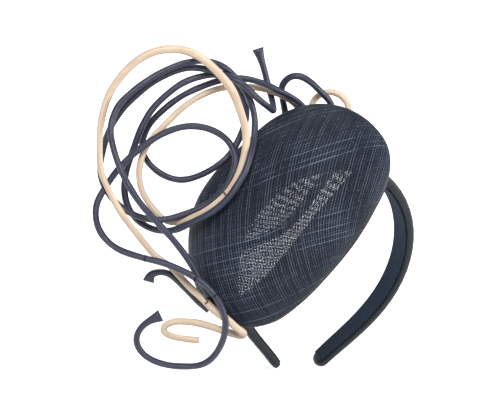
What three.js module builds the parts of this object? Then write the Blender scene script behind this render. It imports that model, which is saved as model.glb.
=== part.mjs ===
// Cocktail headpiece: a blocked sinamay base on a satin alice band, with a spray of satin rouleaux.
// Millimetres, +Z up.  The origin is the middle of the band's inner crown facet, where it sits on
// the head; the band's arch lies in XZ and its ribbon width runs along Y, with the face towards -Y.
import * as THREE from 'three';
import { mergeVertices } from 'three/addons/utils/BufferGeometryUtils.js';

const CLEARANCE = 0.35; // kept between pieces that touch in the real object

// ---- Driving dimensions: alice band -------------------------------------------------------
const BAND_HALF_LENGTH = 189; // along the inner face, crown to tip
const BAND_CROWN_RADIUS = 60.9;
const BAND_STRAIGHTENING = 1.8; // share of the curvature taken away at the next length
const BAND_STRAIGHTENING_LENGTH = 194;
const BAND_STRAIGHTENING_POWER = 4.9;
const BAND_HALF_FACETS = 21; // facets either side of the one at the crown
const BAND_WIDTH = 19;
const BAND_HEIGHT = 7.6; // lining to the top of the padded cover
const BAND_TIP_WIDTH = 13.5;
const BAND_TAPER_START = 80; // distance from the crown at which the band starts to narrow
const BAND_TAPER_POWER = 1.2;
const COVER_THICKNESS = 0.7;
const LINING_THICKNESS = 0.8;
const CORE_THICKNESS = 1.2;
const TIP_LENGTH = 5;

// ---- Driving dimensions: blocked base -----------------------------------------------------
const BASE_CENTRE = new THREE.Vector3(-38.4, -37.6, -26.9);
const BASE_TURN = 50; // degrees round the arch from the crown
const BASE_TIP = 32; // degrees the front edge dips below the band
const BASE_HEIGHT = 36;
const RIM_HEIGHT = 8; // height of the widest line above the underside
const RIM_TURN = 3.4; // how far the edge rolls in below the widest line
const SINAMAY_THICKNESS = 1;
const LAYER_GAP = 0.4;
const WIRE_RADIUS = 0.7;
const BINDING_RADIUS = 0.75;
const OPENING_BINDING_WIDTH = 4;
const STAY_WIDTH = 6;
const UNIT_RADIUS = 50; // radius that the turned profiles are drawn at before they are fitted
const OPENING_UNIT = 20; // the same for the edge of the opening
const BASE_SEGMENTS = 48;
const HUB = new THREE.Vector2(-6, 8); // centre that both outlines are measured from

// ---- Driving dimensions: spray of rouleaux ------------------------------------------------
const SPRAY_TURN = 27; // degrees the spray's plane is turned about Z
const SPRAY_TIP = 20; // degrees it leans back
const SPRAY_ROLL = 10; // degrees it is rolled in its own plane
const NAVY_RADIUS = 1.9;
const NUDE_RADIUS = 2.1;
const ROULEAU_SIDES = 7;
const ROULEAU_STEP = 9;
const FLARE_LENGTH = 13;
const KNOT_RADIUS = 0.8;

// Widest outline of the base and the edge of its opening, in the base's own plane.
const BASE_OUTLINE = [
  [-58, -35], [-36, -40], [-8, -40], [19, -37], [42, -31], [62, -23], [75, -9], [79, 10], [75, 31],
  [62, 49], [41, 60], [13, 63], [-14, 63], [-37, 57], [-57, 42], [-71, 22], [-77, 2], [-73, -20],
];
const OPENING_OUTLINE = [
  [-62, -3], [-44, -9], [-21, -8], [11, -4], [35, -2], [56, 1], [52, 7], [37, 15], [15, 27], [-9, 34],
  [-28, 34], [-46, 26], [-58, 12],
];

// Routes of the rouleaux in the spray's own frame: across, up, and out of its plane.
const NAVY_LONG_ROUTE = [
  [1, 3, 18], [-5, 15, 18], [-12, 27, 18], [-22, 40, 20], [-32, 51, 24], [-40, 60, 26],
  [-48, 72, 26], [-54, 84, 25], [-58, 96, 23], [-60, 108, 20], [-56, 121, 18], [-48, 130, 16],
  [-36, 139, 15], [-23, 146, 14], [-11, 150, 12], [-2, 151, 11], [7, 149, 9], [15, 144, 5],
  [20, 138, 3], [25, 131, 2], [28, 124, 3], [30, 116, 3], [30, 107, 5], [29, 98, 10], [27, 90, 15],
  [24, 81, 18], [18, 71, 19], [12, 63, 19], [2, 55, 17], [-10, 49, 13], [-22, 44, 7], [-35, 45, 1],
  [-45, 51, -1], [-51, 60, -3], [-53, 70, -4], [-52, 80, -4], [-49, 90, -2], [-45, 101, 0],
  [-41, 111, 0], [-35, 121, 0], [-26, 130, 0], [-15, 138, 0], [-3, 142, 0], [7, 143, -1],
  [14, 140, -3], [21, 133, -4], [24, 125, -5], [25, 117, -7], [23, 110, -8], [19, 100, -7],
  [14, 92, -5], [6, 85, -5], [-5, 79, -7], [-17, 76, -9], [-28, 79, -10], [-37, 86, -10],
  [-42, 95, -10], [-41, 104, -9], [-37, 112, -8], [-27, 122, -8], [-16, 130, -8], [-3, 136, -8],
  [9, 140, -8], [23, 141, -9], [35, 138, -9], [46, 133, -13], [56, 128, -22], [63, 122, -31],
  [63, 114.6, -31],
];
const NAVY_TAILED_ROUTE = [
  [-29, -9, 12], [-40, -15, 10], [-45, -24, 8], [-41, -33, 8], [-30, -39, 10], [-15, -41, 12],
  [-1, -39, 15], [8, -29, 19], [12, -14, 24], [8, 0, 25], [0, 10, 24], [-12, 18, 23],
  [-26, 24, 21], [-42, 28, 19], [-58, 34, 14], [-68, 45, 10], [-70, 59, 8], [-63, 73, 7],
  [-53, 86, 8], [-39, 98, 8], [-26, 106, 8], [-12, 110, 6], [2, 108, 5], [13, 101, 4],
  [18, 90, 6], [16, 79, 9], [10, 69, 10], [-1, 60, 8], [-13, 55, 8], [-27, 51, 9],
  [-40, 52, 8], [-53, 58, 6], [-63, 68, 1], [-68, 81, 0], [-66, 95, 1], [-62, 107, 5],
  [-56, 117, 8], [-46, 128, 8], [-35, 137, 8], [-22, 144, 7], [-9, 147, 6], [3, 145, 4],
  [14, 141, 9], [23, 136, 12], [31, 128, 8], [39, 122, 0], [42, 120, -8], [42, 123, -16],
  [41, 129, -22], [39, 136, -24], [36, 148, -24], [32, 161, -22],
];
const NUDE_LONG_ROUTE = [
  [-5, -25, 6], [-14, -24, 6], [-24, -22, 7], [-29, -18, 8], [-22, -13, 8], [-14, -13, 8],
  [-5, -14, 8], [5, -17, 9], [14, -20, 9], [22, -22, 11], [24, -20, 16], [19, -17, 19],
  [13, -11, 19], [5, -6, 17], [0, -1, 14], [-11, 9, 12], [-24, 23, 13], [-32, 28, 13],
  [-42, 40, 14], [-50, 50, 14], [-57, 61, 15], [-62, 71, 15], [-66, 80, 15], [-67, 91, 15],
  [-67, 104, 15], [-66, 113, 15], [-64, 122, 15], [-60, 132, 15], [-55, 139, 16], [-49, 146, 17],
  [-36, 155, 18], [-22, 158, 18], [-14, 157, 18], [-6, 154, 18], [2, 148, 18], [9, 141, 17],
  [16, 132, 16], [20, 122, 14], [23, 113, 12], [25, 104, 11], [24, 94, 12], [22, 85, 13],
  [18, 75, 14], [13, 68, 14], [7, 62, 13], [-3, 55, 11], [-13, 51, 7], [-24, 49, 2],
  [-30, 53, 1], [-36, 60, 1], [-41, 68, 2], [-43, 76, 2], [-43, 84, 2], [-41, 92, 2],
  [-37, 100, 1], [-31, 107, 0], [-24, 114, -2], [-16, 122, -4], [-6, 129, -7], [5, 134, -10],
  [15, 136, -13], [25, 136, -15], [35, 135, -17], [47, 131, -21], [57, 125, -30], [60, 118.5, -34.6],
  [58.4, 110.7, -31.3],
];
const NAVY_BACK_ROUTE = [
  [50, 110.3, -33.6], [50, 120, -35], [48, 129, -31], [47, 136, -26], [51, 142, -22], [57, 144, -20],
  [64, 141, -20], [70, 136, -22], [75, 131, -25], [80, 126, -28], [80, 117, -26.5],
];
const NUDE_BACK_ROUTE = [
  [67, 118.5, -31.4], [67, 126, -36], [71, 131, -33], [78, 134, -32], [85, 132, -31], [90, 127, -31],
  [91.5, 120, -28.7], [87.6, 114, -23.4],
];
const NAVY_SHORT_ROUTE = [
  [-37, 12, 4], [-36, 17, 5], [-30, 18, 6], [-25, 18, 7], [-19, 13, 7], [-12, 6, 7], [-5, -1, 8],
  [1, -6, 10],
];

// ---- Materials ------------------------------------------------------------------------------
const finish = (color, roughness, metalness = 0) => (
  new THREE.MeshStandardMaterial({ color, roughness, metalness })
);
const NAVY_SINAMAY = 0x2b3547;
const NAVY_SATIN = 0x3a3f58;
const NUDE_SATIN = 0xe6cdaf;
const NAVY_GROSGRAIN = 0x22304a;
const BLACK_THREAD = 0x14161c;
const DARK_BINDING = 0x2a2428;

const headpiece = new THREE.Group();
const base = new THREE.Group();
const spray = new THREE.Group();
headpiece.add(base, spray);

function addPiece(parent, name, geometry, material) {
  geometry.deleteAttribute('normal');
  geometry.deleteAttribute('uv');
  const solid = mergeVertices(geometry, 1e-4);
  solid.computeVertexNormals();
  const mesh = new THREE.Mesh(solid, material);
  mesh.name = name;
  parent.add(mesh);
  return mesh;
}

function warp(geometry, move) {
  const positions = geometry.attributes.position;
  const point = new THREE.Vector3();
  for (let i = 0; i < positions.count; i += 1) {
    point.fromBufferAttribute(positions, i);
    move(point);
    positions.setXYZ(i, point.x, point.y, point.z);
  }
  return geometry;
}

const polygon = (points) => new THREE.Shape(points.map(([x, y]) => new THREE.Vector2(x, y)));
const radians = THREE.MathUtils.degToRad;

// ---- Alice band -----------------------------------------------------------------------------
// The inner face is a chain of flat facets, with one centred on the crown and flat at z = 0.
const FACETS = 2 * BAND_HALF_FACETS + 1;
const FACET_LENGTH = (2 * BAND_HALF_LENGTH) / FACETS;

function makeBandChain() {
  const half = [];
  let x = FACET_LENGTH / 2;
  let z = 0;
  let angle = 0;
  for (let k = 0; k <= BAND_HALF_FACETS; k += 1) {
    const along = (k + 0.5) * FACET_LENGTH;
    const fade = (along / BAND_STRAIGHTENING_LENGTH) ** BAND_STRAIGHTENING_POWER;
    const turn = (FACET_LENGTH / BAND_CROWN_RADIUS) * (1 - BAND_STRAIGHTENING * fade);
    half.push({ x, z, along, lean: angle + turn / 2 });
    angle += turn;
    x += FACET_LENGTH * Math.cos(angle);
    z -= FACET_LENGTH * Math.sin(angle);
  }
  const mirrored = half.map((p) => ({ x: -p.x, z: p.z, along: p.along, lean: -p.lean }));
  return [...mirrored.reverse(), ...half];
}
const BAND_CHAIN = makeBandChain();

function taperAt(along) {
  const t = Math.max(0, (along - BAND_TAPER_START) / (BAND_HALF_LENGTH - BAND_TAPER_START));
  return 1 - (1 - BAND_TIP_WIDTH / BAND_WIDTH) * t ** BAND_TAPER_POWER;
}

// Moves a point given as width, height above the inner face and chain index to its real place.
function placeOnBand(point) {
  const index = Math.round(point.z);
  const joint = BAND_CHAIN[index];
  const taper = taperAt(joint.along);
  const width = point.x * taper;
  const height = point.y * (0.5 + 0.5 * taper);
  point.set(
    joint.x + height * Math.sin(joint.lean),
    width,
    joint.z + height * Math.cos(joint.lean),
  );
}

function bandStrip(section) {
  const strip = new THREE.ExtrudeGeometry(polygon(section), {
    depth: FACETS, steps: FACETS, bevelEnabled: false,
  });
  return warp(strip, placeOnBand);
}

const halfWidth = BAND_WIDTH / 2;
const coverFloor = LINING_THICKNESS + CLEARANCE;
const coreHalf = halfWidth - COVER_THICKNESS - CLEARANCE;
const coreTop = coverFloor + CORE_THICKNESS;
const coverInner = BAND_HEIGHT - COVER_THICKNESS;

const EDGE_ROUND = 1.7; // how far the cover's long edges are rounded over
const CROWNING = 0.4; // how much higher the cover is along its middle

function bandCoverSection() {
  const shoulder = BAND_HEIGHT - EDGE_ROUND;
  const inside = halfWidth - COVER_THICKNESS;
  const flat = halfWidth - EDGE_ROUND;
  return [
    [halfWidth, coverFloor], [halfWidth, shoulder], [flat, BAND_HEIGHT - CROWNING],
    [0, BAND_HEIGHT], [-flat, BAND_HEIGHT - CROWNING], [-halfWidth, shoulder],
    [-halfWidth, coverFloor], [-inside, coverFloor], [-inside, shoulder - 0.2],
    [0.4 - flat, coverInner - CROWNING], [0, coverInner], [flat - 0.4, coverInner - CROWNING],
    [inside, shoulder - 0.2], [inside, coverFloor],
  ].reverse();
}

function bandPaddingSection() {
  const low = coreTop + CLEARANCE;
  const top = coverInner - CLEARANCE;
  const shoulder = BAND_HEIGHT - EDGE_ROUND - 2 * CLEARANCE;
  const flat = halfWidth - EDGE_ROUND - 1;
  return [
    [-coreHalf, low], [coreHalf, low], [coreHalf, shoulder], [flat, top - CROWNING],
    [0, top], [-flat, top - CROWNING], [-coreHalf, shoulder],
  ];
}

const rectangle = (x, low, high) => [[-x, low], [x, low], [x, high], [-x, high]];

const satin = finish(NAVY_SATIN, 0.42);
addPiece(headpiece, 'band_lining', bandStrip(rectangle(halfWidth - 0.4, 0, LINING_THICKNESS)),
  finish(NAVY_GROSGRAIN, 0.8));
addPiece(headpiece, 'band_core', bandStrip(rectangle(coreHalf, coverFloor, coreTop)),
  finish(0x20242c, 0.5));
addPiece(headpiece, 'band_padding', bandStrip(bandPaddingSection()), finish(0x3c4048, 0.95));
addPiece(headpiece, 'band_satin_cover', bandStrip(bandCoverSection()), satin);

// A rounded satin end closes each tip beyond the last facet.
function bandTip(side) {
  const steps = 4;
  const joint = BAND_CHAIN[side < 0 ? 0 : BAND_CHAIN.length - 1];
  const taper = taperAt(joint.along);
  const section = rectangle(halfWidth * taper, 0, BAND_HEIGHT * (0.5 + 0.5 * taper));
  const nose = new THREE.ExtrudeGeometry(polygon(section), {
    depth: TIP_LENGTH, steps, bevelEnabled: false,
  });
  const lean = side < 0 ? -joint.lean : joint.lean;
  return warp(nose, (point) => {
    const t = point.z / TIP_LENGTH;
    const round = Math.sqrt(Math.max(0, 1 - 0.82 * t * t));
    const height = BAND_HEIGHT / 2 + (point.y - BAND_HEIGHT / 2) * round;
    const reach = point.z + CLEARANCE;
    const width = side * point.x * round;
    const x = Math.abs(joint.x) + height * Math.sin(lean) + reach * Math.cos(lean);
    point.set(side * x, width, joint.z + height * Math.cos(lean) - reach * Math.sin(lean));
  });
}
addPiece(headpiece, 'band_tip_right', bandTip(-1), satin);
addPiece(headpiece, 'band_tip_left', bandTip(1), satin);

// ---- Blocked base -----------------------------------------------------------------------------
const turn = radians(BASE_TURN);
const tip = radians(BASE_TIP);
const longAxis = new THREE.Vector3(Math.cos(turn), 0, Math.sin(turn));
const archNormal = new THREE.Vector3(-Math.sin(turn), 0, Math.cos(turn));
const upAxis = archNormal.clone().multiplyScalar(Math.cos(tip));
upAxis.addScaledVector(new THREE.Vector3(0, -1, 0), Math.sin(tip));
const crossAxis = upAxis.clone().cross(longAxis);
const baseTurn = new THREE.Matrix4().makeBasis(longAxis, crossAxis, upAxis);
base.position.copy(BASE_CENTRE);
base.quaternion.setFromRotationMatrix(baseTurn);

// Distance from the hub to a closed outline, as a function of the angle round the hub.
function radiusAround(outline) {
  const points = outline.map(([x, y]) => new THREE.Vector3(x, y, 0));
  const curve = new THREE.CatmullRomCurve3(points, true);
  const samples = curve.getPoints(720).map((p) => {
    const dx = p.x - HUB.x;
    const dy = p.y - HUB.y;
    return { angle: Math.atan2(dy, dx), radius: Math.hypot(dx, dy) };
  });
  samples.sort((a, b) => a.angle - b.angle);
  return (angle) => {
    const wrapped = Math.atan2(Math.sin(angle), Math.cos(angle));
    const next = samples.findIndex((sample) => sample.angle >= wrapped);
    const high = samples[Math.max(next, 0)];
    const low = samples[(Math.max(next, 0) + samples.length - 1) % samples.length];
    const span = high.angle - low.angle;
    const t = span > 0 ? (wrapped - low.angle) / span : 0;
    return THREE.MathUtils.lerp(low.radius, high.radius, THREE.MathUtils.clamp(t, 0, 1));
  };
}
const rimRadius = radiusAround(BASE_OUTLINE);
const openingRadius = radiusAround(OPENING_OUTLINE);

// Turns a profile of [unit radius, height] points round the hub and fits it to the outlines.
function fittedTurning(profile, radiusFor) {
  const points = profile.map(([x, y]) => new THREE.Vector2(x, y));
  const lathe = new THREE.LatheGeometry(points, BASE_SEGMENTS);
  return warp(lathe, (point) => {
    const unit = Math.hypot(point.x, point.z);
    const angle = Math.atan2(point.z, point.x);
    const radius = radiusFor(unit, angle);
    const height = point.y;
    point.set(HUB.x + radius * Math.cos(angle), HUB.y - radius * Math.sin(angle), height);
  });
}
const scaledToRim = (unit, angle) => (unit / UNIT_RADIUS) * rimRadius(-angle);
const facingEdge = UNIT_RADIUS - RIM_TURN - 0.5;
function acrossFacing(unit, angle) {
  const t = (unit - OPENING_UNIT) / (facingEdge - OPENING_UNIT);
  return THREE.MathUtils.lerp(openingRadius(-angle), scaledToRim(facingEdge, angle), t);
}

// Dome profile from the crown down to the widest line, drawn a given distance inside the outer face.
function domeProfile(inset, steps) {
  const profile = [];
  for (let i = 0; i <= steps; i += 1) {
    const a = (Math.PI / 2) * (1 - i / steps);
    const x = (UNIT_RADIUS - inset) * Math.cos(a) ** 0.8;
    const y = RIM_HEIGHT + (BASE_HEIGHT - RIM_HEIGHT - inset) * Math.sin(a);
    profile.push([i === 0 ? 0 : x, y]);
  }
  return profile;
}

const skin = SINAMAY_THICKNESS;
const inner = skin + LAYER_GAP;
const outerShell = [
  ...domeProfile(0, 8),
  [UNIT_RADIUS - 0.6, RIM_HEIGHT * 0.5],
  [UNIT_RADIUS - RIM_TURN, RIM_HEIGHT * 0.18],
  [UNIT_RADIUS - RIM_TURN - skin, RIM_HEIGHT * 0.3],
  [UNIT_RADIUS - 0.6 - skin, RIM_HEIGHT * 0.55],
  ...domeProfile(skin, 8).reverse(),
].reverse();
const innerShell = [
  ...domeProfile(inner, 7),
  [UNIT_RADIUS - inner - 0.3, RIM_HEIGHT * 0.85],
  [UNIT_RADIUS - inner - 0.3 - skin, RIM_HEIGHT * 0.85],
  ...domeProfile(inner + skin, 7).reverse(),
].reverse();

function ringProfile(x, y, radius) {
  const sides = 5;
  const profile = [];
  for (let i = 0; i <= sides; i += 1) {
    const a = (2 * Math.PI * i) / sides;
    profile.push([x + radius * Math.cos(a), y + radius * Math.sin(a)]);
  }
  return profile;
}

const boxProfile = (x0, x1, y0, y1) => [[x0, y0], [x1, y0], [x1, y1], [x0, y1], [x0, y0]];

const sinamay = finish(NAVY_SINAMAY, 0.85);
const facingTop = skin * 0.9;
addPiece(base, 'base_outer_shell', fittedTurning(outerShell, scaledToRim), sinamay);
addPiece(base, 'base_inner_shell', fittedTurning(innerShell, scaledToRim), sinamay);
addPiece(base, 'base_facing',
  fittedTurning(boxProfile(OPENING_UNIT, facingEdge, 0, facingTop), acrossFacing), sinamay);
addPiece(base, 'rim_wire',
  fittedTurning(ringProfile(UNIT_RADIUS - RIM_TURN + 0.3, RIM_HEIGHT * 0.6, WIRE_RADIUS), scaledToRim),
  finish(0x30343c, 0.4, 0.8));
addPiece(base, 'rim_binding',
  fittedTurning(ringProfile(UNIT_RADIUS - RIM_TURN + 0.9, 0.4, BINDING_RADIUS), scaledToRim),
  finish(DARK_BINDING, 0.7));
const bindingUnits = OPENING_BINDING_WIDTH;
addPiece(base, 'opening_binding',
  fittedTurning(
    boxProfile(OPENING_UNIT, OPENING_UNIT + bindingUnits, -CLEARANCE - 0.7, -CLEARANCE),
    acrossFacing,
  ), sinamay);

// Doubled bias strip across the opening, lying on the facing.
const STAY_ROUTE = [[48, 14], [22, 8], [-8, 6], [-36, 17], [-58, 22]];
function stayStrip() {
  const steps = 10;
  const curve = new THREE.CatmullRomCurve3(STAY_ROUTE.map(([x, y]) => new THREE.Vector3(x, y, 0)));
  const half = STAY_WIDTH / 2;
  const low = facingTop + CLEARANCE;
  const strip = new THREE.ExtrudeGeometry(polygon([[-half, low], [half, low], [half, low + 0.8],
    [-half, low + 0.8]]), { depth: steps, steps, bevelEnabled: false });
  return warp(strip, (point) => {
    const t = point.z / steps;
    const centre = curve.getPointAt(t);
    const tangent = curve.getTangentAt(t);
    const across = point.x;
    const height = point.y;
    point.set(centre.x - tangent.y * across, centre.y + tangent.x * across, height);
  });
}
addPiece(base, 'opening_stay', stayStrip(), sinamay);

// Felt patch under the facing that the spray is sewn through.
const patch = new THREE.CylinderGeometry(5, 5, 1, 12).rotateX(Math.PI / 2);
patch.scale(0.8, 1.6, 1).translate(-68, 8, -CLEARANCE - 0.5);
addPiece(base, 'spray_anchor_patch', patch, finish(0x1d2230, 0.95));

// ---- Threads that tie the base to the band --------------------------------------------------
base.updateMatrixWorld(true);
const underside = new THREE.Plane().setFromNormalAndCoplanarPoint(
  upAxis,
  BASE_CENTRE.clone().addScaledVector(upAxis, -CLEARANCE),
);
const THREAD_RADIUS = 0.45;
function tieLoop(index) {
  const joint = BAND_CHAIN[index];
  const out = new THREE.Vector3(Math.sin(joint.lean), 0, Math.cos(joint.lean));
  const side = halfWidth * taperAt(joint.along) + THREAD_RADIUS + CLEARANCE;
  const floor = -THREAD_RADIUS - CLEARANCE;
  const foot = (y) => new THREE.Vector3(joint.x, y, joint.z).addScaledVector(out, floor);
  const top = (y) => {
    const start = foot(y);
    const rise = -underside.distanceToPoint(start) / underside.normal.dot(out);
    return start.addScaledVector(out, rise - 3 * THREAD_RADIUS);
  };
  const corners = [top(-side), foot(-side), foot(side), top(side)];
  const curve = new THREE.CatmullRomCurve3([
    corners[0], corners[0].clone().lerp(corners[1], 0.5), corners[1],
    corners[1].clone().lerp(corners[2], 0.5), corners[2],
    corners[2].clone().lerp(corners[3], 0.5), corners[3],
  ]);
  return new THREE.ExtrudeGeometry(circle(THREAD_RADIUS, 5), {
    steps: 16, bevelEnabled: false, extrudePath: curve,
  });
}

function circle(radius, sides) {
  const points = [];
  for (let i = 0; i < sides; i += 1) {
    const a = (2 * Math.PI * i) / sides;
    points.push([radius * Math.cos(a), radius * Math.sin(a)]);
  }
  return polygon(points);
}
const thread = finish(BLACK_THREAD, 0.8);
const TIE_JOINTS = [13, 16, 18];
TIE_JOINTS.forEach((index, i) => addPiece(headpiece, `band_tie_${i + 1}`, tieLoop(index), thread));

// ---- Spray of rouleaux ------------------------------------------------------------------------
const azimuth = radians(SPRAY_TURN);
const lean = radians(SPRAY_TIP);
const outward = new THREE.Vector3(
  -Math.sin(azimuth) * Math.cos(lean),
  -Math.cos(azimuth) * Math.cos(lean),
  Math.sin(lean),
);
const level = new THREE.Vector3(Math.cos(azimuth), -Math.sin(azimuth), 0);
const across = level.clone().applyAxisAngle(outward, radians(SPRAY_ROLL));
const upward = outward.clone().cross(across);
const sprayTurn = new THREE.Matrix4().makeBasis(across, upward, outward);
spray.quaternion.setFromRotationMatrix(sprayTurn);
const SPRAY_ANCHOR = new THREE.Vector3(-74, 5, 8); // in the base's own frame
spray.position.copy(base.localToWorld(SPRAY_ANCHOR.clone()));

// Opens out a cut end: the tube spreads flat over the last stretch of its length.
function flareEnd(geometry, end, direction, spread) {
  const flat = new THREE.Vector3(0, 0, 1).cross(direction).normalize();
  const thin = direction.clone().cross(flat).normalize();
  const offset = new THREE.Vector3();
  return warp(geometry, (point) => {
    offset.copy(point).sub(end);
    const along = offset.dot(direction);
    const wide = offset.dot(flat);
    const deep = offset.dot(thin);
    const near = along > -FLARE_LENGTH && Math.hypot(wide, deep) < FLARE_LENGTH / 3;
    if (!near) return;
    const open = (1 + along / FLARE_LENGTH) ** 2;
    point.addScaledVector(flat, wide * spread * open);
    point.addScaledVector(thin, -deep * 0.45 * open);
  });
}

function rouleau(name, route, radius, material, flares = []) {
  const curve = new THREE.CatmullRomCurve3(route.map(([x, y, z]) => new THREE.Vector3(x, y, z)));
  const steps = Math.ceil(curve.getLength() / ROULEAU_STEP);
  const tube = new THREE.ExtrudeGeometry(circle(radius, ROULEAU_SIDES), {
    steps, bevelEnabled: false, extrudePath: curve,
  });
  flares.forEach(({ at, spread }) => {
    const direction = curve.getTangentAt(at).multiplyScalar(at === 0 ? -1 : 1);
    flareEnd(tube, curve.getPointAt(at), direction, spread);
  });
  return addPiece(spray, name, tube, material);
}
const nudeSatin = finish(NUDE_SATIN, 0.4);
rouleau('rouleau_navy_long', NAVY_LONG_ROUTE, NAVY_RADIUS, satin);
rouleau('rouleau_navy_tailed', NAVY_TAILED_ROUTE, NAVY_RADIUS, satin,
  [{ at: 0, spread: 0.7 }, { at: 1, spread: 0.7 }]);
rouleau('rouleau_nude_long', NUDE_LONG_ROUTE, NUDE_RADIUS, nudeSatin);
rouleau('rouleau_navy_back', NAVY_BACK_ROUTE, NAVY_RADIUS, satin);
rouleau('rouleau_nude_back', NUDE_BACK_ROUTE, NUDE_RADIUS, nudeSatin);
rouleau('rouleau_navy_short', NAVY_SHORT_ROUTE, NAVY_RADIUS, satin, [{ at: 0, spread: 0.6 }]);

// Thread knots that hold neighbouring rouleaux together, in the spray's frame.
const KNOTS = [[11, 66.5, 17.2], [-1, -1, 17.4], [7.5, 5.5, 25], [-7, 14.5, 26.6], [-38.5, 30.5, 20]];
KNOTS.forEach(([x, y, z], i) => {
  const knot = new THREE.SphereGeometry(KNOT_RADIUS, 6, 4).translate(x, y, z);
  addPiece(spray, `thread_knot_${i + 1}`, knot, thread);
});

export default headpiece;
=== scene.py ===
# %% [markdown]
# # A cocktail headpiece
# A blocked sinamay base is stitched to a satin alice band, and a spray of stiffened satin
# tubes loops out beside it. Everything is in metres. The origin is the middle of the band's
# inner face at the crown, +Z is up, and the face of the wearer looks towards -Y.

# %% Load the fixed frame
import math
import random

import bmesh
import bpy
import numpy as np
from mathutils import Matrix, Vector


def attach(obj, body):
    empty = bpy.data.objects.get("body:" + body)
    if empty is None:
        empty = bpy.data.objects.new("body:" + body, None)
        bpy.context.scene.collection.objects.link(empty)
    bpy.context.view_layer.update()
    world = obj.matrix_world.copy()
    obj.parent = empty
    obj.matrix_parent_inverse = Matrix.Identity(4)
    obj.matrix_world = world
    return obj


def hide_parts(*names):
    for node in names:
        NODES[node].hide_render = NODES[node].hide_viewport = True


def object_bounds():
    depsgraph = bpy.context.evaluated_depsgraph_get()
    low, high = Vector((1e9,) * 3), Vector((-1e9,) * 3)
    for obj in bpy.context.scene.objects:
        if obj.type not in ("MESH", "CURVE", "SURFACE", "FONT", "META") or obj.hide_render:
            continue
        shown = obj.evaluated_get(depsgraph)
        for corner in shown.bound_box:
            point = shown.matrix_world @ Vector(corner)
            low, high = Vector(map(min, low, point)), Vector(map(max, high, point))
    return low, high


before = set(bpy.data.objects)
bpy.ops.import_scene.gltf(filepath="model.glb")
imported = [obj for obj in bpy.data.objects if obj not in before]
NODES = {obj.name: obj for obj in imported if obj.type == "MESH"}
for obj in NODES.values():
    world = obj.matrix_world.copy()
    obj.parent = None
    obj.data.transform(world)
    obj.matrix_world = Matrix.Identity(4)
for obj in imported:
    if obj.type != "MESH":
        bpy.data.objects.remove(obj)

CAD_LOW, CAD_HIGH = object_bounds()
MM = 0.001
print("frame box", [round(v, 4) for v in (*CAD_LOW, *CAD_HIGH)])

# %% [markdown]
# ## Camera and light
# A headpiece is best seen slightly from above and from the front, on the side of the trim.
# The camera is rolled a little, so the band hangs as it would from a display stand.
# A long lens keeps the curves of the spray from being exaggerated.

# %% Camera
VIEW_TURN = math.radians(27)
VIEW_LIFT = math.radians(20)
VIEW_ROLL = math.radians(10)
VIEW_DISTANCE = 1300 * MM
VIEW_LENS = 142.75
VIEW_ACROSS = -55.1  # mm from the origin to the middle of the view
VIEW_UP = -22.4

towards_camera = Vector((
    -math.sin(VIEW_TURN) * math.cos(VIEW_LIFT),
    -math.cos(VIEW_TURN) * math.cos(VIEW_LIFT),
    math.sin(VIEW_LIFT),
))
level = Vector((math.cos(VIEW_TURN), -math.sin(VIEW_TURN), 0))
view_across = Matrix.Rotation(VIEW_ROLL, 3, towards_camera) @ level
view_up = towards_camera.cross(view_across)
view_centre = (VIEW_ACROSS * view_across + VIEW_UP * view_up) * MM
view_turned = Matrix((view_across, view_up, towards_camera)).transposed()

camera = bpy.data.objects.new("camera", bpy.data.cameras.new("camera"))
bpy.context.collection.objects.link(camera)
camera.data.lens = VIEW_LENS
camera.rotation_mode = "QUATERNION"
camera.rotation_quaternion = view_turned.to_quaternion()
camera.location = view_centre + towards_camera * VIEW_DISTANCE
camera.data.clip_end = 20
bpy.context.scene.camera = camera
print("camera at", [round(v, 3) for v in camera.location])

# %% Floor
FLOOR_HALF_SIZE = 6
FLOOR_GAP = 1 * MM

scene = bpy.context.scene
scene.view_settings.view_transform = "Standard"

floor_mesh = bpy.data.meshes.new("floor")
floor_bm = bmesh.new()
bmesh.ops.create_grid(floor_bm, x_segments=1, y_segments=1, size=FLOOR_HALF_SIZE)
bmesh.ops.translate(floor_bm, verts=floor_bm.verts, vec=(0, 0, CAD_LOW.z - FLOOR_GAP))
floor_bm.to_mesh(floor_mesh)
floor_bm.free()
floor = bpy.data.objects.new("floor", floor_mesh)
bpy.context.collection.objects.link(floor)
floor.visible_diffuse = False

floor_material = bpy.data.materials.new("floor paper")
floor_material.use_nodes = True
floor_shader = floor_material.node_tree.nodes["Principled BSDF"]
floor_shader.inputs["Base Color"].default_value = (0.93, 0.93, 0.93, 1)
floor_shader.inputs["Roughness"].default_value = 0.9
floor_shader.inputs["Emission Color"].default_value = (1, 1, 1, 1)
floor_shader.inputs["Emission Strength"].default_value = 0.62
floor_mesh.materials.append(floor_material)
print("floor at", round(CAD_LOW.z - FLOOR_GAP, 4))

# %% World and lights
world = bpy.data.worlds.new("studio")
world.use_nodes = True
world.node_tree.nodes["Background"].inputs["Color"].default_value = (1, 1, 1, 1)
world.node_tree.nodes["Background"].inputs["Strength"].default_value = 0.5
scene.world = world


def soft_box(name, place, size, power):
    """A square area light that looks at the middle of the headpiece."""
    data = bpy.data.lights.new(name, "AREA")
    data.energy = power
    data.size = size
    light = bpy.data.objects.new(name, data)
    bpy.context.collection.objects.link(light)
    light.location = place
    aim = (CAD_LOW + CAD_HIGH) / 2 - Vector(place)
    light.rotation_mode = "QUATERNION"
    light.rotation_quaternion = aim.to_track_quat("-Z", "Y")


soft_box("key light", (-0.9, -1.1, 1.5), 0.6, 32)
soft_box("side light", (1.2, -1.0, 0.5), 0.6, 20)
soft_box("back light", (0.1, 1.6, 1.2), 1.2, 12)
print("stage set")

# %% [markdown]
# ## Tools shared by the pieces
# Most of this headpiece is long, thin things: tubes, ribbons, wires and threads. One helper
# draws a smooth curve through a few points, and another carries a cross-section along it:
# the first ring is a few vertices, and every next ring is extruded from the last one.

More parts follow.
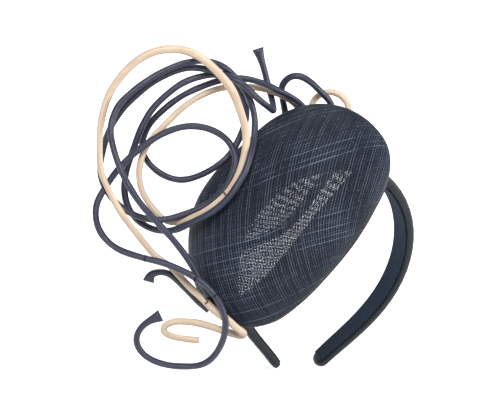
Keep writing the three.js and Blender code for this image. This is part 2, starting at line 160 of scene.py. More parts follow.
# %% Smooth curve through points
CURVE_STEPS = 24  # short straight steps between two of the points, before they are evened out


def smooth_path(points, spacing, closed=False):
    """Points at an even spacing along a centripetal Catmull-Rom curve."""
    pts = [Vector(p) for p in points]
    count = len(pts)
    if closed:
        ends = [pts[-1]] + pts + pts[:2]
    else:
        ends = [2 * pts[0] - pts[1]] + pts + [2 * pts[-1] - pts[-2]]
    dense = []
    for i in range(count if closed else count - 1):
        p0, p1, p2, p3 = ends[i:i + 4]
        k01 = math.sqrt((p1 - p0).length)
        k12 = math.sqrt((p2 - p1).length)
        k23 = math.sqrt((p3 - p2).length)
        m1 = (p2 - p1) + k12 * ((p1 - p0) / k01 - (p2 - p0) / (k01 + k12))
        m2 = (p2 - p1) + k12 * ((p3 - p2) / k23 - (p3 - p1) / (k12 + k23))
        for j in range(CURVE_STEPS):
            t = j / CURVE_STEPS
            a = 2 * t ** 3 - 3 * t ** 2 + 1
            b = t ** 3 - 2 * t ** 2 + t
            c = 3 * t ** 2 - 2 * t ** 3
            d = t ** 3 - t ** 2
            dense.append(a * p1 + b * m1 + c * p2 + d * m2)
    dense.append(pts[0] if closed else pts[-1])
    steps = np.linalg.norm(np.diff(np.array(dense), axis=0), axis=1)
    along = np.concatenate([[0], np.cumsum(steps)])
    stops = np.linspace(0, along[-1], max(2, round(along[-1] / spacing)) + 1)
    if closed:
        stops = stops[:-1]
    columns = [np.interp(stops, along, np.array(dense)[:, k]) for k in range(3)]
    return [Vector(p) for p in np.stack(columns, axis=1)], along[-1]


# %% Frames along a path
def frames_along(path, start_normal, closed=False):
    """(point, tangent, normal, side) at each point, turned as little as possible on the way."""
    frames = []
    normal = Vector(start_normal)
    last = len(path) - 1
    for i, point in enumerate(path):
        before = path[i - 1] if i or closed else point
        after = path[i + 1 if i < last else 0] if i < last or closed else point
        tangent = (after - before).normalized()
        normal = (normal - tangent * normal.dot(tangent)).normalized()
        frames.append((point, tangent, normal, tangent.cross(normal)))
    return frames


# %% Carry a section along a path
def settle(bm, rank):
    """Lists a bmesh's parts in the order of its vertices' ranks, so every run lists them alike."""
    total = len(rank)

    def spot(part):
        ranks = [rank[v] for v in part.verts]
        return min(ranks) * total + max(ranks)

    bm.edges.sort(key=spot)
    bm.faces.sort(key=spot)
    bm.verts.sort(key=lambda v: rank[v])


def sweep(name, frames, section_at, length, closed=False):
    """Extrudes a ring from frame to frame. section_at(i) gives its [across, up] points.

    The "cloth" UV map runs round the section and along the path, both in metres.
    """
    bm = bmesh.new()
    uv = bm.loops.layers.uv.new("cloth")
    first = section_at(0)
    count = len(first)
    rings = []
    around = [0.0]
    for j in range(count):
        step = math.dist(first[j], first[(j + 1) % count])
        around.append(around[-1] + step)

    def place(verts, i):
        point, _, normal, side = frames[i]
        for vert, (a, b) in zip(verts, section_at(i)):
            vert.co = point + normal * b + side * a

    ring = [bm.verts.new((0, 0, 0)) for _ in range(count)]
    edges = [bm.edges.new((ring[j], ring[(j + 1) % count])) for j in range(count)]
    place(ring, 0)
    rings.append(ring)
    start_edges = edges
    for i in range(1, len(frames)):
        made = bmesh.ops.extrude_edge_only(bm, edges=edges)["geom"]
        new_verts = [g for g in made if isinstance(g, bmesh.types.BMVert)]
        partner = {}
        fresh = set(new_verts)
        for vert in ring:
            for edge in vert.link_edges:
                other = edge.other_vert(vert)
                if other in fresh:
                    partner[vert] = other
        ring = [partner[v] for v in ring]
        edges = [bm.edges.get((ring[j], ring[(j + 1) % count])) for j in range(count)]
        place(ring, i)
        rings.append(ring)
    if closed:
        bmesh.ops.bridge_loops(bm, edges=edges + start_edges)
    else:
        bmesh.ops.contextual_create(bm, geom=start_edges)
        bmesh.ops.contextual_create(bm, geom=edges)
    index = {v: (i, j) for i, row in enumerate(rings) for j, v in enumerate(row)}
    for face in bm.faces:
        face.smooth = len(face.verts) == 4
        spots = [index[loop.vert] for loop in face.loops]
        wraps_j = max(s[1] for s in spots) - min(s[1] for s in spots) > 1
        wraps_i = max(s[0] for s in spots) - min(s[0] for s in spots) > 1
        for loop, (i, j) in zip(face.loops, spots):
            jj = count if wraps_j and j == 0 else j
            ii = len(rings) if wraps_i and i == 0 else i
            loop[uv].uv = (around[jj], ii * length / (len(rings) - (0 if closed else 1)))
    bmesh.ops.recalc_face_normals(bm, faces=bm.faces)
    settle(bm, {v: i * count + j for v, (i, j) in index.items()})
    return finished(name, bm)


# %% Make a piece and give it its finish
def finished(name, bm):
    """Turns a bmesh into a piece that sits at the origin."""
    mesh = bpy.data.meshes.new(name)
    bm.to_mesh(mesh)
    bm.free()
    piece = bpy.data.objects.new(name, mesh)
    bpy.context.collection.objects.link(piece)
    print(name, len(mesh.polygons), "faces")
    return piece


def dress(piece, material, slot, *nodes):
    """Gives a piece its finish and its body, and hides the frame nodes that it stands for. The slot is
    not used.
    """
    piece.data.materials.clear()
    piece.data.materials.append(material)
    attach(piece, "root")
    if nodes:
        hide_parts(*nodes)
    return piece


def refinish(node, material):
    """Gives a frame node a finish and leaves its shape as it is."""
    NODES[node].data.materials.clear()
    NODES[node].data.materials.append(material)


# %% [markdown]
# ## Finishes
# Four finishes make this piece: satin, which is smooth, shiny along its length and slightly
# creased on the bias, with shade painted into the creases; grosgrain, which is matt and ribbed;
# sinamay, whose threads each differ a little in colour, with pale threads that carry a painted
# highlight; and plain thread. Shared effects are node groups.

# %% Helpers for shader nodes
def new_group(name, inputs, outputs):
    group = bpy.data.node_groups.new(name, "ShaderNodeTree")
    for label, kind, value in inputs:
        socket = group.interface.new_socket(label, in_out="INPUT", socket_type=kind)
        if value is not None:
            socket.default_value = value
    for label, kind in outputs:
        group.interface.new_socket(label, in_out="OUTPUT", socket_type=kind)
    start = group.nodes.new("NodeGroupInput")
    end = group.nodes.new("NodeGroupOutput")
    return group, start, end


FLOAT = "NodeSocketFloat"
COLOR = "NodeSocketColor"
VECTOR = "NodeSocketVector"


def math_node(tree, operation, a, b=None, c=None):
    node = tree.nodes.new("ShaderNodeMath")
    node.operation = operation
    for k, value in enumerate((a, b, c)):
        if value is None:
            continue
        if isinstance(value, (int, float)):
            node.inputs[k].default_value = value
        else:
            tree.links.new(value, node.inputs[k])
    return node.outputs[0]


def mix_color(tree, factor, a, b):
    node = tree.nodes.new("ShaderNodeMix")
    node.data_type = "RGBA"
    for socket, value in ((node.inputs[0], factor), (node.inputs[6], a), (node.inputs[7], b)):
        if hasattr(value, "is_linked"):
            tree.links.new(value, socket)
        else:
            socket.default_value = value
    return node.outputs[2]


def noise_node(tree, coordinate, scale, detail=2.0, stretch=None):
    if stretch:
        mapping = tree.nodes.new("ShaderNodeMapping")
        mapping.inputs["Scale"].default_value = stretch
        tree.links.new(coordinate, mapping.inputs["Vector"])
        coordinate = mapping.outputs[0]
    node = tree.nodes.new("ShaderNodeTexNoise")
    node.inputs["Scale"].default_value = scale
    node.inputs["Detail"].default_value = detail
    tree.links.new(coordinate, node.inputs["Vector"])
    return node.outputs["Fac"]


# %% Node group: satin creases, with painted shade in them
def satin_group():
    """Fine bias twill lines, soft lengthwise creases with shade painted into their hollows, and a slow
    random change of colour.
    """
    group, start, end = new_group(
        "satin surface",
        [("UV", VECTOR, None), ("Color", COLOR, (0.1, 0.1, 0.1, 1)), ("Shade", COLOR, (0, 0, 0, 1)),
         ("Twill per metre", FLOAT, 1800.0)],
        [("Color", COLOR), ("Height", FLOAT), ("Roughness", FLOAT)],
    )
    uv = start.outputs["UV"]
    split = group.nodes.new("ShaderNodeSeparateXYZ")
    group.links.new(uv, split.inputs[0])
    diagonal = math_node(group, "ADD", split.outputs[0], split.outputs[1])
    phase = math_node(group, "MULTIPLY", diagonal, start.outputs["Twill per metre"])
    twill = math_node(group, "SINE", math_node(group, "MULTIPLY", phase, 2 * math.pi))
    creases = noise_node(group, uv, 620, 3, (1.0, 0.09, 1.0))
    slow = noise_node(group, uv, 38, 2, (0.6, 1.0, 1.0))
    fine = math_node(group, "MULTIPLY", twill, 0.05)
    height = math_node(group, "ADD", fine, creases)
    spread = math_node(group, "MULTIPLY_ADD", creases, 2.0, -0.6)
    amount = math_node(group, "MULTIPLY_ADD", slow, 0.7, spread)
    amount = math_node(group, "MULTIPLY", amount, 0.75)
    # Painted shade: the colour darkens to the Shade colour in the crease hollows, and in slow random
    # patches.
    group.links.new(mix_color(group, amount, start.outputs["Shade"], start.outputs["Color"]),
                    end.inputs["Color"])
    group.links.new(height, end.inputs["Height"])
    group.links.new(math_node(group, "MULTIPLY_ADD", creases, 0.2, 0.28), end.inputs["Roughness"])
    return group


SATIN_SURFACE = satin_group()
print("satin surface has", len(SATIN_SURFACE.nodes), "nodes")


# %% Satin finishes
def principled(name):
    material = bpy.data.materials.new(name)
    material.use_nodes = True
    return material, material.node_tree, material.node_tree.nodes["Principled BSDF"]


def uv_of(tree, name="cloth"):
    node = tree.nodes.new("ShaderNodeUVMap")
    node.uv_map = name
    return node.outputs[0]


def bump(tree, shader, height, strength, distance):
    node = tree.nodes.new("ShaderNodeBump")
    node.inputs["Strength"].default_value = strength
    node.inputs["Distance"].default_value = distance
    tree.links.new(height, node.inputs["Height"])
    tree.links.new(node.outputs[0], shader.inputs["Normal"])


def satin(name, color, shade, sheen_tint, sheen, shine=0.5):
    """A dyed satin: its shade colour is painted into the creases as shade, and the shader's sheen
    lifts its edges.
    """
    material, tree, shader = principled(name)
    surface = tree.nodes.new("ShaderNodeGroup")
    surface.node_tree = SATIN_SURFACE
    surface.inputs["Color"].default_value = color
    surface.inputs["Shade"].default_value = shade
    tree.links.new(uv_of(tree), surface.inputs["UV"])
    tree.links.new(surface.outputs["Color"], shader.inputs["Base Color"])
    tree.links.new(surface.outputs["Roughness"], shader.inputs["Roughness"])
    bump(tree, shader, surface.outputs["Height"], 0.6, 0.0005)
    shader.inputs["Specular IOR Level"].default_value = shine
    shader.inputs["Anisotropic"].default_value = 0.5
    shader.inputs["Sheen Weight"].default_value = sheen
    shader.inputs["Sheen Roughness"].default_value = 0.4
    shader.inputs["Sheen Tint"].default_value = sheen_tint
    return material


# The second colour of each satin is the painted shade for its creases.
NAVY_SATIN = satin("navy satin", (0.028, 0.032, 0.070, 1), (0.007, 0.009, 0.020, 1),
                   (0.45, 0.45, 0.75, 1), 0.16)
NUDE_SATIN = satin("nude satin", (0.76, 0.60, 0.45, 1), (0.50, 0.37, 0.26, 1),
                   (1.0, 0.9, 0.8, 1), 0.12)
BAND_SATIN = satin("band satin", (0.013, 0.019, 0.026, 1), (0.005, 0.008, 0.012, 1),
                   (0.3, 0.35, 0.45, 1), 0.08, 0.25)
print("satin finishes made")


# %% Grosgrain, thread, felt and wire finishes
def plain_fibre(name, color, light, scale, roughness, height=0.3):
    """A matt fibre finish whose shade and surface vary with a fine noise."""
    material, tree, shader = principled(name)
    coordinate = tree.nodes.new("ShaderNodeTexCoord").outputs["Object"]
    grain = noise_node(tree, coordinate, scale, 3)
    ramp = math_node(tree, "MULTIPLY_ADD", grain, 2.2, -0.6)
    clamped = math_node(tree, "MINIMUM", math_node(tree, "MAXIMUM", ramp, 0.0), 1.0)
    tree.links.new(mix_color(tree, clamped, color, light), shader.inputs["Base Color"])
    tree.links.new(math_node(tree, "MULTIPLY_ADD", grain, 0.2, roughness - 0.1),
                   shader.inputs["Roughness"])
    bump(tree, shader, grain, height, 0.0003)
    shader.inputs["Specular IOR Level"].default_value = 0.2
    return material


GROSGRAIN = plain_fibre("navy grosgrain", (0.007, 0.017, 0.036, 1),
                        (0.018, 0.038, 0.072, 1), 1500, 0.7)
BLACK_THREAD = plain_fibre("black thread", (0.004, 0.004, 0.006, 1),
                           (0.014, 0.014, 0.02, 1), 4000, 0.7)
BINDING = plain_fibre("rim binding", (0.010, 0.009, 0.012, 1),
                      (0.028, 0.022, 0.024, 1), 2500, 0.75)
FELT = plain_fibre("navy felt", (0.008, 0.011, 0.02, 1),
                   (0.02, 0.026, 0.042, 1), 1800, 0.95)
WIRE_WRAP = plain_fibre("wrapped wire", (0.012, 0.015, 0.022, 1),
                        (0.03, 0.034, 0.045, 1), 3000, 0.6)
print("plain fibre finishes made")


# %% Sinamay finish
def sinamay(name, dark, mid, light):
    """Each thread has its own value, from dark through mid to nearly silver: dark and mid are the
    thread's own colour, and the pale threads carry a painted highlight that slow patches make stronger
    or weaker.
    """
    material, tree, shader = principled(name)
    tone_and_glint = tree.nodes.new("ShaderNodeAttribute")
    tone_and_glint.attribute_name = "tone_and_glint"
    coordinate = tree.nodes.new("ShaderNodeTexCoord").outputs["Object"]
    slub = noise_node(tree, coordinate, 700, 2)
    shifted = math_node(tree, "MULTIPLY_ADD", slub, 0.5, -0.25)
    # Painted highlight: slow patches scale every thread's value, so the pale threads glint more in
    # some places than in others.
    patches = noise_node(tree, coordinate, 32, 2)
    gain = math_node(tree, "MULTIPLY_ADD", patches, 1.1, 0.4)
    value = math_node(tree, "MULTIPLY_ADD", tone_and_glint.outputs["Fac"], gain, shifted)
    ramp = tree.nodes.new("ShaderNodeValToRGB")
    ramp.color_ramp.elements[0].position = 0.1
    ramp.color_ramp.elements[0].color = dark
    ramp.color_ramp.elements[1].position = 0.95
    ramp.color_ramp.elements[1].color = light
    middle = ramp.color_ramp.elements.new(0.6)
    middle.color = mid
    tree.links.new(value, ramp.inputs[0])
    tree.links.new(ramp.outputs[0], shader.inputs["Base Color"])
    tree.links.new(math_node(tree, "MULTIPLY_ADD", slub, 0.2, 0.35), shader.inputs["Roughness"])
    shader.inputs["Specular IOR Level"].default_value = 0.22
    bump(tree, shader, slub, 0.3, 0.0002)
    return material


# The third colour of each sinamay is the painted highlight of its pale threads.
SINAMAY = sinamay("navy sinamay", (0.004, 0.007, 0.015, 1), (0.020, 0.029, 0.052, 1),
                  (0.22, 0.27, 0.38, 1))
SINAMAY_INNER = sinamay("navy sinamay lining", (0.007, 0.011, 0.022, 1), (0.014, 0.02, 0.036, 1),
                        (0.09, 0.11, 0.16, 1))
print("sinamay finishes made")

# %% [markdown]
# ## Alice band
# The band is a springy strip bent into a horseshoe: round over the crown, straighter towards
# its tips, and a little narrower there. Its shape is found by adding up short steps whose
# direction turns less and less, so the same path serves the ribbon, the satin and the tips.

# %% Band path
BAND_HALF_LENGTH = 189 * MM
BAND_CROWN_RADIUS = 60.9 * MM
BAND_STRAIGHTENING = 1.8
BAND_STRAIGHTENING_LENGTH = 194 * MM
BAND_STRAIGHTENING_POWER = 4.9
BAND_WIDTH = 19 * MM
BAND_HEIGHT = 7.6 * MM
BAND_TIP_WIDTH = 13.5 * MM
BAND_TAPER_START = 80 * MM
BAND_TAPER_POWER = 1.2
TIP_LENGTH = 5 * MM
CLEARANCE = 0.35 * MM


def band_frames(spacing):
    """Frames along the band's inner face, tip to tip, and the distance of each from the crown."""
    steps = round(BAND_HALF_LENGTH / spacing)
    step = BAND_HALF_LENGTH / steps
    x, z, angle = 0.0, 0.0, 0.0
    half = []
    for k in range(steps + 1):
        along = k * step
        half.append((x, z, angle, along))
        fade = ((along + step / 2) / BAND_STRAIGHTENING_LENGTH) ** BAND_STRAIGHTENING_POWER
        turn = step / BAND_CROWN_RADIUS * (1 - BAND_STRAIGHTENING * fade)
        x += step * math.cos(angle + turn / 2)
        z -= step * math.sin(angle + turn / 2)
        angle += turn
    both = [(-px, pz, -a, -s) for px, pz, a, s in reversed(half[1:])] + half
    frames = []
    for px, pz, a, s in both:
        tangent = Vector((math.cos(a), 0, -math.sin(a)))
        normal = Vector((math.sin(a), 0, math.cos(a)))
        frames.append((Vector((px, 0, pz)), tangent, normal, tangent.cross(normal)))
    return frames, [s for _, _, _, s in both]


def taper(along):
    t = max(0.0, (abs(along) - BAND_TAPER_START) / (BAND_HALF_LENGTH - BAND_TAPER_START))
    return 1 - (1 - BAND_TIP_WIDTH / BAND_WIDTH) * t ** BAND_TAPER_POWER


def thinning(scale):
    """The band gets thinner half as fast as it gets narrower."""
    return 0.5 + 0.5 * scale


def bulged(value, power):
    """Makes a sine or cosine fuller: the lower the power, the squarer the round."""
    return math.copysign(abs(value) ** power, value)


print("band is", round(2 * BAND_HALF_LENGTH / MM), "mm long and", round(BAND_WIDTH / MM, 1), "mm wide")

# %% Ribbed grosgrain lining
RIB_PITCH = 0.9 * MM
RIB_DEPTH = 0.14 * MM
LINING_HALF = BAND_WIDTH / 2 - 0.4 * MM
LINING_THICKNESS = 0.8 * MM
LINING_BEVEL = 0.5 * MM
LINING_MIDDLE = 0.35 * MM

lining_frames, lining_along = band_frames(RIB_PITCH / 2)


def lining_section(i):
    half = LINING_HALF * taper(lining_along[i])
    low = RIB_DEPTH * (i % 2)
    flat = half - LINING_BEVEL
    return [(-flat, low), (flat, low), (half, LINING_MIDDLE),
            (flat, LINING_THICKNESS), (-flat, LINING_THICKNESS), (-half, LINING_MIDDLE)]


lining = sweep("band_grosgrain_lining", lining_frames, lining_section, 2 * BAND_HALF_LENGTH)
for polygon in lining.data.polygons:
    polygon.use_smooth = False
dress(lining, GROSGRAIN, "grosgrain", "band_lining")

# %% Satin cover
COVER_THICKNESS = 0.7 * MM
COVER_FLOOR = LINING_THICKNESS + CLEARANCE
COVER_ARC_STEPS = 22
COVER_SIDE_POWER = 0.36
COVER_TOP_POWER = 0.42
COVER_WAVE = 0.012  # share of the padding's height that comes and goes along the band
COVER_WAVE_RATE = 0.9

cover_frames, cover_along = band_frames(2 * MM)


def cover_section(i):
    """A rounded channel: the padded top, and thin satin sides that stop at the ribbon."""
    scale = taper(cover_along[i])
    depth = thinning(scale)
    half = BAND_WIDTH / 2 * scale
    rise = (BAND_HEIGHT - COVER_FLOOR) * depth
    pull = 1 + COVER_WAVE * math.sin(cover_along[i] / MM * COVER_WAVE_RATE)
    outer, inner = [], []
    for k in range(COVER_ARC_STEPS + 1):
        a = math.pi * k / COVER_ARC_STEPS
        across = bulged(math.cos(a), COVER_SIDE_POWER)
        up = math.sin(a) ** COVER_TOP_POWER
        outer.append((half * across, COVER_FLOOR * depth + rise * up * pull))
        inner.append(((half - COVER_THICKNESS) * across,
                      COVER_FLOOR * depth + (rise - COVER_THICKNESS) * up * pull))
    return outer + inner[::-1]


cover = sweep("band_satin", cover_frames, cover_section, 2 * BAND_HALF_LENGTH)
dress(cover, BAND_SATIN, "navy_satin", "band_satin_cover")


# %% Satin tips
TIP_STEPS = 8
TIP_SIDES = 16
TIP_POWER = 0.6
TIP_LEAST = 0.02  # keeps the last ring open by a hair


def band_tip(name, side, node):
    """Closes one end of the band with a few rings that shrink like a ball's."""
    point, tangent, normal, across = cover_frames[0 if side < 0 else -1]
    scale = taper(BAND_HALF_LENGTH)
    depth = thinning(scale)
    frames = []
    for k in range(TIP_STEPS + 1):
        reach = (TIP_LENGTH + CLEARANCE) * math.sin(math.pi / 2 * k / TIP_STEPS)
        frames.append((point + side * tangent * reach, tangent, normal, across))

    def section(i):
        t = math.sin(math.pi / 2 * i / TIP_STEPS)
        shrink = math.sqrt(max(TIP_LEAST, 1 - t * t))
        ring = []
        for k in range(TIP_SIDES):
            a = 2 * math.pi * k / TIP_SIDES
            x = bulged(math.cos(a), TIP_POWER)
            y = bulged(math.sin(a), TIP_POWER)
            ring.append((BAND_WIDTH / 2 * scale * x * shrink,
                         BAND_HEIGHT / 2 * depth * (1 + y * shrink)))
        return ring

    tip = sweep(name, frames, section, TIP_LENGTH)
    return dress(tip, BAND_SATIN, "navy_satin", node)


band_tip("band_satin_tip_right", -1, "band_tip_right")
band_tip("band_satin_tip_left", 1, "band_tip_left")

# %% [markdown]
# ## Blocked sinamay base
# Sinamay is woven from stiff banana-plant threads. It is steamed and pulled on the bias over
# a wooden block, in layers, so its two sets of threads run diagonally over the dome and bunch
# towards the rim. Here each thread is a real strip: a flat grid whose gap columns are deleted
# is bent over the dome and then given thickness.

# %% Frame of the base
BASE_CENTRE = Vector((-38.4, -37.6, -26.9)) * MM
BASE_TURN = math.radians(50)
BASE_TIP = math.radians(32)
BASE_HEIGHT = 36 * MM
RIM_HEIGHT = 8 * MM
HUB = (-6 * MM, 8 * MM)

long_axis = Vector((math.cos(BASE_TURN), 0, math.sin(BASE_TURN)))
arch_normal = Vector((-math.sin(BASE_TURN), 0, math.cos(BASE_TURN)))
up_axis = arch_normal * math.cos(BASE_TIP) + Vector((0, -1, 0)) * math.sin(BASE_TIP)
cross_axis = up_axis.cross(long_axis)
base_turned = Matrix((long_axis, cross_axis, up_axis)).transposed().to_4x4()
BASE = Matrix.Translation(BASE_CENTRE) @ base_turned

BASE_OUTLINE = [
    (-58, -35), (-36, -40), (-8, -40), (19, -37), (42, -31), (62, -23), (75, -9), (79, 10),
    (75, 31), (62, 49), (41, 60), (13, 63), (-14, 63), (-37, 57), (-57, 42), (-71, 22), (-77, 2),
    (-73, -20),
]
OPENING_OUTLINE = [
    (-62, -3), (-44, -9), (-21, -8), (11, -4), (35, -2), (56, 1), (52, 7), (37, 15), (15, 27),
    (-9, 34), (-28, 34), (-46, 26), (-58, 12),
]
base_spans = [max(p[k] for p in BASE_OUTLINE) - min(p[k] for p in BASE_OUTLINE) for k in (0, 1)]
print("base is about", base_spans[0], "mm long and", base_spans[1], "mm wide")


def radius_around(outline):
    """Distance from the hub to a closed outline, as a function of the angle round the hub."""
    path, _ = smooth_path([(x * MM, y * MM, 0) for x, y in outline], 0.5 * MM, closed=True)
    offsets = np.array([(p.x - HUB[0], p.y - HUB[1]) for p in path])
    angles = np.arctan2(offsets[:, 1], offsets[:, 0])
    order = np.argsort(angles)
    radii = np.hypot(offsets[:, 0], offsets[:, 1])[order]
    angles = angles[order]
    return lambda a: np.interp(a, angles, radii, period=2 * math.pi)


rim_radius = radius_around(BASE_OUTLINE)
opening_radius = radius_around(OPENING_OUTLINE)

# %% Profile of the dome
PROFILE_STEPS = 60
ROLL_STEPS = 12
DOME_FULLNESS = 0.8  # under 1, the sides of the dome stand steeper than a ball's
ROLL_DROP = 0.82  # share of the rim's height that the rolled edge takes up
RIM_TURN = 0.068  # share of the radius that the edge rolls in below the widest line


def dome_profile():
    """Share of the rim radius, and height, from the crown to the rolled edge."""
    shares, heights = [], []
    for k in range(PROFILE_STEPS + 1):
        a = math.pi / 2 * (1 - k / PROFILE_STEPS)
        shares.append(math.cos(a) ** DOME_FULLNESS if k else 0.0)
        heights.append(RIM_HEIGHT + (BASE_HEIGHT - RIM_HEIGHT) * math.sin(a))
    for k in range(1, ROLL_STEPS + 1):
        a = math.pi / 2 * k / ROLL_STEPS
        shares.append(1 - RIM_TURN * (1 - math.cos(a)))
        heights.append(RIM_HEIGHT * (1 - ROLL_DROP * math.sin(a)))
    return np.array(shares), np.array(heights)


TYPICAL_RADIUS = 60 * MM

profile_share, profile_height = dome_profile()
profile_steps = np.hypot(np.diff(profile_share) * TYPICAL_RADIUS, np.diff(profile_height))
profile_fraction = np.concatenate([[0], np.cumsum(profile_steps)]) / profile_steps.sum()
slope_share = np.gradient(profile_share * TYPICAL_RADIUS, profile_fraction)
slope_height = np.gradient(profile_height, profile_fraction)
slope_length = np.hypot(slope_share, slope_height)
normal_out = -slope_height / slope_length
normal_up = slope_share / slope_length
print("dome profile has", len(profile_share), "points")


# %% Bend flat cloth over the dome
def cloth_radius(rim):
    """How far cloth laid from the crown to the rolled edge reaches, for a given rim radius."""
    across = np.diff(profile_share)[:, None] * rim
    return np.hypot(across, np.diff(profile_height)[:, None]).sum(axis=0)


rim_table = np.linspace(20 * MM, 100 * MM, 40)
cloth_table = cloth_radius(rim_table)


def over_dome(flat, depth):
    """Bends flat cloth positions over the dome, a depth below its outer face."""
    angle = np.arctan2(flat[:, 1], flat[:, 0])
    rim = rim_radius(angle)
    reach = np.hypot(flat[:, 0], flat[:, 1]) / np.interp(rim, rim_table, cloth_table)
    reach = np.clip(reach, 0, 1)
    share = np.interp(reach, profile_fraction, profile_share)
    height = np.interp(reach, profile_fraction, profile_height)
    out = share * rim - depth * np.interp(reach, profile_fraction, normal_out)
    height = height - depth * np.interp(reach, profile_fraction, normal_up)
    return np.stack([HUB[0] + out * np.cos(angle), HUB[1] + out * np.sin(angle), height], axis=1)


def cloth_inside_dome(flat):
    """Which flat cloth positions land on the dome."""
    angle = np.arctan2(flat[:, 1], flat[:, 0])
    return np.hypot(flat[:, 0], flat[:, 1]) <= np.interp(rim_radius(angle), rim_table, cloth_table)


print("cloth reaches", round(float(cloth_table.max()) / MM), "mm at most")

# %% [markdown]
# The weave itself: one grid gives one set of threads. Columns of the grid are, in turn, a
# thread and a gap. Each thread wanders a little, and has a value that its finish reads, from
# 0 for dark to 1 for nearly silver; the high values are a painted highlight on the thread.
# Cloth could also be a picture on a smooth shell, but then nothing would show through
# between the threads.

# %% Threads woven flat and then bent
THREAD_THICKNESS = 0.22 * MM
THREAD_STEP = 3.2 * MM  # how far apart the grid's rows are along a thread


def thread_set(bm, tone_and_glint, half_length, half_width, pitch, width, turn, depth, bend, inside, rng,
               tones_and_glints, bow=0.0):
    """Adds one set of parallel threads, turned in the flat, cut to the outline and bent."""
    count = round(2 * half_width / pitch)
    rows = round(2 * half_length / THREAD_STEP)
    made = bmesh.ops.create_grid(bm, x_segments=2 * count, y_segments=rows, size=1)
    verts = made["verts"]
    grid = np.array([v.co for v in verts])
    column = np.rint((grid[:, 0] + 1) * count).astype(int)
    thread = column // 2
    start = rng.uniform(-0.08, 0.08, count + 1) * pitch
    wander = rng.uniform(0.02, 0.12, count + 1) * pitch
    phase = rng.uniform(0, 2 * math.pi, count + 1)
    beat = rng.uniform(90, 220, count + 1)
    widths = width * rng.uniform(0.85, 1.15, count + 1)
    y = grid[:, 1] * half_length
    x = thread * pitch - half_width + start[thread] + (column % 2) * widths[thread]
    x = x + wander[thread] * np.sin(phase[thread] + beat[thread] * y) + bow * y ** 2
    flat = np.stack([x * math.cos(turn) - y * math.sin(turn),
                     x * math.sin(turn) + y * math.cos(turn)], axis=1)
    keep = inside(flat)
    index = {v: k for k, v in enumerate(verts)}
    # Each thread's value: its own colour, and for the pale threads a painted highlight.
    shade = np.resize(tones_and_glints, count + 1) + rng.uniform(-0.12, 0.12, count + 1)
    doomed = []
    for face in {f for v in verts for f in v.link_faces}:
        spots = [index[v] for v in face.verts]
        columns = [column[k] for k in spots]
        is_gap = min(columns) % 2 == 1
        if is_gap or not any(keep[k] for k in spots):
            doomed.append(face)
        else:
            face[tone_and_glint] = float(shade[min(columns) // 2])
            face.smooth = True
    placed = bend(flat, depth)
    for vert, co in zip(verts, placed):
        vert.co = BASE @ Vector(co)
    bmesh.ops.delete(bm, geom=doomed, context="FACES")


# %% A layer of cloth
def woven(name, material, slot, nodes, sets, seed):
    """A layer of cloth from several thread sets; each set is a dictionary of its sizes."""
    rng = np.random.default_rng(seed)
    bm = bmesh.new()
    tone_and_glint = bm.faces.layers.float.new("tone_and_glint")
    for one in sets:
        thread_set(bm, tone_and_glint, rng=rng, **one)
    bmesh.ops.recalc_face_normals(bm, faces=bm.faces)
    piece = finished(name, bm)
    thickness = piece.modifiers.new("thread thickness", "SOLIDIFY")
    thickness.thickness = THREAD_THICKNESS
    thickness.offset = 0
    return dress(piece, material, slot, *nodes)


# %% Outer and inner layers of the dome
CLOTH_HALF = 105 * MM
BIAS = math.radians(45)
OUTER_PITCH, OUTER_THREAD = 0.85 * MM, 0.4 * MM
INNER_PITCH, INNER_THREAD = 0.9 * MM, 0.48 * MM
# The values repeat across the cloth. A few pale threads among dark ones give it streaks, which
# are painted highlight: glints along shiny threads, brighter in the warp than in the weft.
WARP_TONES_AND_GLINTS = [1.1, 0.2, 0.7, 0.25, 0.9, 0.2, 1.0, 0.3, 0.75, 0.2, 0.85, 0.25, 1.1, 0.3]
WEFT_TONES_AND_GLINTS = [0.5, 0.15, 0.42, 0.15, 0.66, 0.15, 0.45, 0.2, 0.58, 0.15]
TONES = [0.3, 0.2]

dome_sizes = {
    "half_length": CLOTH_HALF, "half_width": CLOTH_HALF, "bend": over_dome,
    "inside": cloth_inside_dome,
}
woven("base_weave_outer", SINAMAY, "sinamay", ["base_outer_shell"], [
    {**dome_sizes, "pitch": OUTER_PITCH, "width": OUTER_THREAD, "turn": BIAS + math.pi / 2,
     "bow": -3.0, "tones_and_glints": WARP_TONES_AND_GLINTS, "depth": 0.36 * MM},
    {**dome_sizes, "pitch": OUTER_PITCH, "width": OUTER_THREAD, "turn": BIAS + 0.25, "bow": 1.5,
     "tones_and_glints": WEFT_TONES_AND_GLINTS, "depth": 0.12 * MM},
], seed=11)
inner_turn = BIAS - math.radians(14)
woven("base_weave_inner", SINAMAY_INNER, "sinamay", ["base_inner_shell"], [
    {**dome_sizes, "pitch": INNER_PITCH, "width": INNER_THREAD, "turn": inner_turn,
     "tones_and_glints": TONES, "depth": 1.7 * MM},
    {**dome_sizes, "pitch": INNER_PITCH, "width": INNER_THREAD, "turn": inner_turn + math.pi / 2,
     "tones_and_glints": TONES, "depth": 2.0 * MM},
], seed=12)

# %% [markdown]
# Under the dome the cloth turns across as a flat facing with a leaf-shaped opening, where the
# hair can breathe. The facing is close-woven, so the opening shows from the front as a paler,
# see-through leaf.

# %% Facing
FACING_SHARE = 1 - RIM_TURN
FACING_HALF = 90 * MM
FACING_PITCH, FACING_THREAD = 1.1 * MM, 0.95 * MM


def laid_flat(flat, depth):
    """Keeps cloth flat under the dome, and pulls strays back to the edge or the opening."""
    angle = np.arctan2(flat[:, 1], flat[:, 0])
    radius = np.hypot(flat[:, 0], flat[:, 1])
    radius = np.clip(radius, opening_radius(angle), rim_radius(angle) * FACING_SHARE)
    return np.stack([HUB[0] + radius * np.cos(angle), HUB[1] + radius * np.sin(angle),
                     np.full(len(flat), depth)], axis=1)


